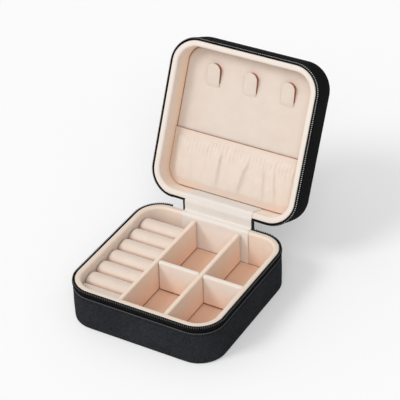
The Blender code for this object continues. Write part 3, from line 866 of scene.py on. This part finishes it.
def pocket_height(x, y):
    """How far the gathered cloth stands off the panel: a smooth channel for the elastic, fine
    ruching under it, then a few long folds that fade into the seam."""
    below = y - POCKET_MOUTH
    down = below / (POCKET_SEAM - POCKET_MOUTH)
    hold = ease((wall_x(y, POCKET_DEPTH) - abs(x)) / 6.0) * ease((1 - down) / 0.16)
    belly = 0.55 + 1.5 * ease(down / 0.3) * ease((1 - down) / 0.5)
    groove = -0.22 * math.exp(-((below - 4.6) / 0.5) ** 2)
    phase = x / 2.6 + 0.4 * wave(x, 0.0, 1.0, 7.0) + 0.10 * wave(x, y, 1.0, 3.0)
    ruche = 0.30 * math.sin(2 * math.pi * phase) * (0.7 + 0.9 * wave(x, y, 5.0, 5.0))
    ruche *= ease((below - 1.5) / 3.5) * math.exp(-max(below - 8.0, 0.0) ** 2 / 30.0)
    folds = 0.0
    for centre, lean, size, depth, top in POCKET_FOLDS:
        away = (x - centre - lean * (below - 18)) / (size * (0.45 + 0.9 * down))
        flank = 1.0 if away < 0 else 3.2
        folds += depth * math.exp(-(away * flank) ** 2) * ease((below - top) / 7.0)
    folds *= ease((1 - down) / 0.3)
    return CLEAR + 0.35 + hold * (belly + groove + ruche + folds)


def outline(rows):
    """The numbers round the outside of a grid, in order."""
    end = rows[-1]
    return rows[0] + [row[-1] for row in rows[1:]] + end[-2::-1] + [row[0] for row in rows[-2:0:-1]]


def make_pocket():
    """Gathered pocket sheet with a rolled elastic mouth."""
    columns, lines = 260, 60
    thick = 0.45
    front = []
    for j in range(lines + 1):
        y = mix(POCKET_MOUTH, POCKET_SEAM, j / lines)
        reach = wall_x(y, POCKET_DEPTH)
        spots = [reach * (-1 + 2 * i / columns) for i in range(columns + 1)]
        front.append([(x, y, PANEL_FACE + pocket_height(x, y)) for x in spots])
    back = [[(x, y, h - thick) for x, y, h in row] for row in front]
    shape = Shape()
    one, two = outline(shape.grid(front)), outline(shape.grid(back))
    for k in range(len(one)):
        shape.faces.append((one[k - 1], one[k], two[k], two[k - 1]))
    # The pocket's low parts take the painted shade of its velvet.
    pocket = make_piece("pocket_velvet", shape, POCKET_VELVET, "lid", ["pocket"],
                        place_lid)

    hem = Shape()
    reach = wall_x(POCKET_MOUTH, POCKET_DEPTH)
    path = []
    for i in range(241):
        x = reach * (-1 + 2 * i / 240)
        path.append((x, POCKET_MOUTH - 0.1, PANEL_FACE + pocket_height(x, POCKET_MOUTH) - 0.22))
    hem.tube(path, 0.34, 8, spread=(0, 0, 1))
    elastic = make_piece("pocket_hem", hem, MOUTH_CORD, "lid", ["pocket_elastic"],
                         place_lid)


# ---------------------------------------------------------------- spine

def ribbon(path, half_width, thickness, seed=0, sway=0.0, curl_below=0.0):
    """A flat strip across X that follows points in the YZ plane. Below a height its right edge
    curls up a little."""
    edge = thickness / 2
    across = [mix(-half_width + edge, half_width - edge, k / 24) for k in range(25)]
    bend = angles(math.pi, 6)[1:-1]
    section = [(x, edge) for x in across]
    section += [(half_width - edge + edge * math.sin(a), edge * math.cos(a)) for a in bend]
    section += [(x, -edge) for x in reversed(across)]
    section += [(-half_width + edge - edge * math.sin(a), -edge * math.cos(a)) for a in bend]
    rows = []
    for i, point in enumerate(path):
        before, after = Vector(path[max(i - 1, 0)]), Vector(path[min(i + 1, len(path) - 1)])
        ahead = (after - before).normalized()
        normal = Vector((-ahead.y, ahead.x))
        row = []
        for x, out in section:
            out += sway * wave(x, point[0] + seed, point[1], 7.0)
            out += 0.5 * ease((x / half_width - 0.88) / 0.12) * ease((curl_below - point[1]) / 3.0)
            row.append((x, point[0] + normal.x * out, point[1] + normal.y * out))
        rows.append(row)
    shape = Shape()
    shape.bar(rows)
    return shape


def lid_path(points):
    """Points (y, height) in the lid's measures as (y, z) where the open lid holds them."""
    spots = [place_lid((0, y, height)) for y, height in points]
    return [(spot.y, spot.z) for spot in spots]


def bezier(share):
    """Weights of a cubic curve's four points at a share of its run."""
    rest = 1 - share
    return (rest ** 3, 3 * rest * rest * share, 3 * rest * share * share, share ** 3)


def even(points, step):
    """Points every so often along a polyline, ends kept."""
    total = [0.0]
    for one, two in zip(points, points[1:]):
        total.append(total[-1] + (Vector(two) - Vector(one)).length)
    count = max(int(total[-1] / step), 2)
    made = []
    leg = 0
    for i in range(count + 1):
        want = total[-1] * i / count
        while leg < len(points) - 2 and total[leg + 1] < want:
            leg += 1
        span = total[leg + 1] - total[leg] or 1.0
        spot = Vector(points[leg]).lerp(Vector(points[leg + 1]), (want - total[leg]) / span)
        made.append(tuple(spot))
    return made


def make_spine():
    """Leather strip from half to half, and the velvet strip that lines it. Each has a part on
    the base, a part on the lid, and a free part between them, drawn bent as it stands with the lid open
    and fixed there."""
    middle = HALF_SIDE - SPINE_LEATHER / 2
    tucked = HALF_SIDE - 1.35
    fold_z = BASE_HEIGHT - FOLD_INSET + 0.2
    lid_fold = place_lid((0, HALF_SIDE, LID_HEIGHT - FOLD_INSET))
    lid_top = LID_HEIGHT - ZIP_BAND

    def tuck(top):
        """Where the leather comes out from under the cover's folded edge."""
        return [(mix(tucked, middle, ease(k / 8)), mix(top - 0.8, top + 1.2, k / 8)) for k in range(9)]

    run = [(tucked, COVER_TOP - 2.2), (tucked, COVER_TOP - 0.9)] + tuck(COVER_TOP) + [(middle, fold_z)]
    shape = ribbon(even(run, 0.16), SPINE_HALF, SPINE_LEATHER)
    make_piece("spine_leather_base", shape, SPINE_LEATHER_LOOK, "base",
               ["base_spine_tab"])

    turn = arc((lid_fold.y, lid_fold.z), SPINE_LEATHER / 2, 180, 180 - math.degrees(LID_ANGLE), 12)
    past = lid_path([(middle, LID_HEIGHT - FOLD_INSET - 0.5)])
    shape = ribbon(even([(middle, fold_z)] + turn + past, 0.11), SPINE_HALF, SPINE_LEATHER)
    make_piece("spine_leather", shape, SPINE_LEATHER_LOOK,
               ("base", "lid", Vector((0, middle, fold_z)), Vector((0, middle, lid_fold.z))),
               ["spine_strip"])

    run = past + lid_path(list(reversed(tuck(lid_top))) + [(tucked, lid_top - 2.2)])
    shape = ribbon(even(run, 0.16), SPINE_HALF, SPINE_LEATHER)
    make_piece("spine_leather_lid", shape, SPINE_LEATHER_LOOK, "lid",
               ["lid_spine_tab"])

    face = HALF_SIDE - SPINE_LEATHER - STRIP / 2 - 0.02
    wall = HALF_SIDE - LINING_DEPTH - STRIP / 2 - 0.02
    over = BASE_HEIGHT + STRIP / 2 + 0.04
    round_over, bend, join = 1.75, 0.9, 47.3
    run = [(wall, FLOOR_TOP + 0.2), (wall, over - round_over)]
    run += arc((wall + round_over, over - round_over), round_over, 180, 90, 8) + [(join, over)]
    shape = ribbon(even(run, 0.4), STRIP_HALF, STRIP, 3, 0.05, over - 1.5)
    make_piece("spine_velvet_base", shape, STRIP_VELVET, "base", ["hinge_strip_base"])

    rim_out = LID_HEIGHT + STRIP / 2 + 0.04
    lip = [Vector(spot) for spot in lid_path([(HALF_SIDE - 1.5, rim_out), (HALF_SIDE - 2.6, rim_out)])]
    start, aim = Vector((face, lid_fold.z - 0.4)), lip[0]
    pull = (aim - start).length * 0.45
    held = (start, start + Vector((0, pull)), aim - (lip[1] - aim).normalized() * pull, aim)
    bow = [tuple(sum((point * weight for point, weight in zip(held, bezier(k / 8))), Vector((0, 0))))
           for k in range(9)]
    run = [(join, over)] + arc((face - bend, over + bend), bend, -90, 0, 8) + bow + [tuple(lip[1])]
    shape = ribbon(even(run, 0.12), STRIP_HALF, STRIP)
    make_piece("spine_velvet", shape, STRIP_VELVET,
               ("base", "lid", Vector((0, face, over + 0.2)), Vector((0, face, aim.y))))

    inside = [(HALF_SIDE - 2.6, rim_out)]
    inside += arc((wall + round_over, rim_out - round_over), round_over, 90, 180, 8)
    inside += [(wall, PANEL_FACE + 0.1)]
    shape = ribbon(even(lid_path(inside), 0.4), STRIP_HALF, STRIP, 8, 0.05)
    make_piece("spine_velvet_lid", shape, STRIP_VELVET, "lid", ["hinge_strip_lid"])


# ---------------------------------------------------------------- zip tail, slider and pull

def make_zip_tail():
    """The joined end of the zip on the back: two tapes, stitched down, and meshed loops."""
    low, high = node_box("zip_tail_tape")
    middle = (low.z + high.z) / 2
    tapes, threads = Shape(), Shape()
    for side in (-1, 1):
        edge = high.z - middle
        rows = []
        for i in range(41):
            x = mix(low.x, high.x, i / 40)
            ripple = 0.05 * wave(x, side * 9, 2.0, 3.0)
            rows.append([(x, low.y, middle + side * 0.1), (x, high.y + ripple, middle + side * 0.1),
                         (x, high.y + ripple, middle + side * (edge - 0.3)),
                         (x, mix(low.y, high.y, 0.5), middle + side * (edge + ripple)),
                         (x, low.y, middle + side * (edge - 0.2))])
        tapes.bar(rows)
        for first in range(11):
            start = low.x + 0.7 + first * 2.2
            path = [(mix(start, start + 1.6, k / 5), high.y - 0.05 + 0.12 * math.sin(math.pi * k / 5),
                     middle + side * (edge - 1.1)) for k in range(6)]
            threads.tube(path, 0.13, 6)
    make_piece("zip_tail_weave", tapes, TAPE, "base", ["zip_tail_tape"])
    make_piece("zip_tail_stitches", threads, THREAD, "base")

    low, high = node_box("zip_tail_coil")
    loops = Shape()
    count = int((high.x - low.x - 0.8) / (ZIP_PITCH / 2))
    for number in range(count + 1):
        side = 1 if number % 2 else -1
        x = low.x + 0.4 + number * ZIP_PITCH / 2
        path = [(x, mix(low.y, high.y, depth), middle + side * rise)
                for depth, rise in ((0.2, 2.1), (0.7, 2.0), (0.78, 1.0), (0.78, 0.0), (0.62, -0.55),
                                    (0.35, -0.5), (0.22, 0.4), (0.2, 1.6))]
        loops.tube(path, 0.24, 6, wide=1.1, spread=(1, 0, 0))
    make_piece("zip_tail_loops", loops, COIL, "base", ["zip_tail_coil"])


def finish_kept_nodes():
    """Materials for the frame's own nodes that are shown as they are."""
    looks = {"base_shell": (GREYBOARD, "board"), "lid_shell": (GREYBOARD, "board"),
             "zip_slider": (NICKEL, "zip_metal"), "zip_pull": (NICKEL, "zip_metal")}
    for name, (look, slot) in looks.items():
        node = frame["nodes"][name]
        node.data.materials.clear()
        node.data.materials.append(look)


# ---------------------------------------------------------------- stage, light and camera

def direction(azimuth, elevation):
    """Unit vector to a place in degrees round from the front, and degrees up."""
    az, el = math.radians(azimuth), math.radians(elevation)
    return Vector((math.sin(az) * math.cos(el), -math.cos(az) * math.cos(el), math.sin(el)))


def make_stage():
    bpy.ops.mesh.primitive_plane_add(size=6.0, location=(0, 0, 0))
    floor = bpy.context.object
    floor.name = "floor"
    floor.data.materials.append(paper("pale_floor"))

    world = bpy.data.worlds.new("studio")
    bpy.context.scene.world = world
    world.use_nodes = True
    tree = world.node_tree
    background = tree.nodes["Background"]
    background.inputs["Color"].default_value = (1.0, 1.0, 1.0, 1)
    outward = tree.nodes.new("ShaderNodeTexCoord").outputs["Generated"]
    toward = tree.nodes.new("ShaderNodeVectorMath")
    toward.operation = "DOT_PRODUCT"
    toward.inputs[1].default_value = (-0.6, -0.8, 0.0)
    tree.links.new(outward, toward.inputs[0])
    level = tree.nodes.new("ShaderNodeMapRange")
    for label, value in (("From Min", -1.0), ("From Max", 1.0), ("To Min", 0.25), ("To Max", 0.90)):
        level.inputs[label].default_value = value
    tree.links.new(toward.outputs["Value"], level.inputs["Value"])
    tree.links.new(level.outputs[0], background.inputs["Strength"])

    def sun(name, azimuth, elevation, strength, soft):
        light = bpy.data.lights.new(name, "SUN")
        light.energy = strength
        light.angle = math.radians(soft)
        lamp = bpy.data.objects.new(name, light)
        bpy.context.scene.collection.objects.link(lamp)
        back = direction(azimuth, elevation)
        lamp.rotation_mode = "QUATERNION"
        lamp.rotation_quaternion = back.to_track_quat("Z", "Y")
        lamp.location = back * 2

    sun("key", -34, 42, 1.08, 20)
    sun("front", 32, 42, 0.74, 30)


def make_camera():
    azimuth, elevation, roll = 30.84, 34.89, math.radians(-2.24)
    target, distance = Vector((-10.5, 45.9, 40.0)) * MM, 1.0315
    back = direction(azimuth, elevation)
    level = direction(azimuth + 90, 0)
    right = level * math.cos(roll) + back.cross(level) * math.sin(roll)
    up = back.cross(right)
    data = bpy.data.cameras.new("camera")
    data.lens = 152.23
    data.sensor_width = 36.0
    data.clip_start, data.clip_end = 0.05, 20.0
    camera = bpy.data.objects.new("camera", data)
    bpy.context.scene.collection.objects.link(camera)
    camera.matrix_world = Matrix((right, up, back)).transposed().to_4x4()
    camera.location = target + back * distance
    bpy.context.scene.camera = camera
    bpy.context.scene.view_settings.view_transform = "Standard"


def main():
    for half in (BASE, LID):
        make_cover(half)
        make_cover_stitches(half)
        make_lining(half)
        make_tape(half)
        make_coil(half)
    make_seam(BASE, FLOOR_TOP - 0.25)
    make_seam(LID, PANEL_FACE - 0.85)
    make_floor()
    make_dividers()
    make_ring_bed()
    make_rolls()
    make_panel()
    make_hooks()
    make_pocket()
    make_spine()
    make_zip_tail()
    finish_kept_nodes()
    make_stage()
    make_camera()


main()
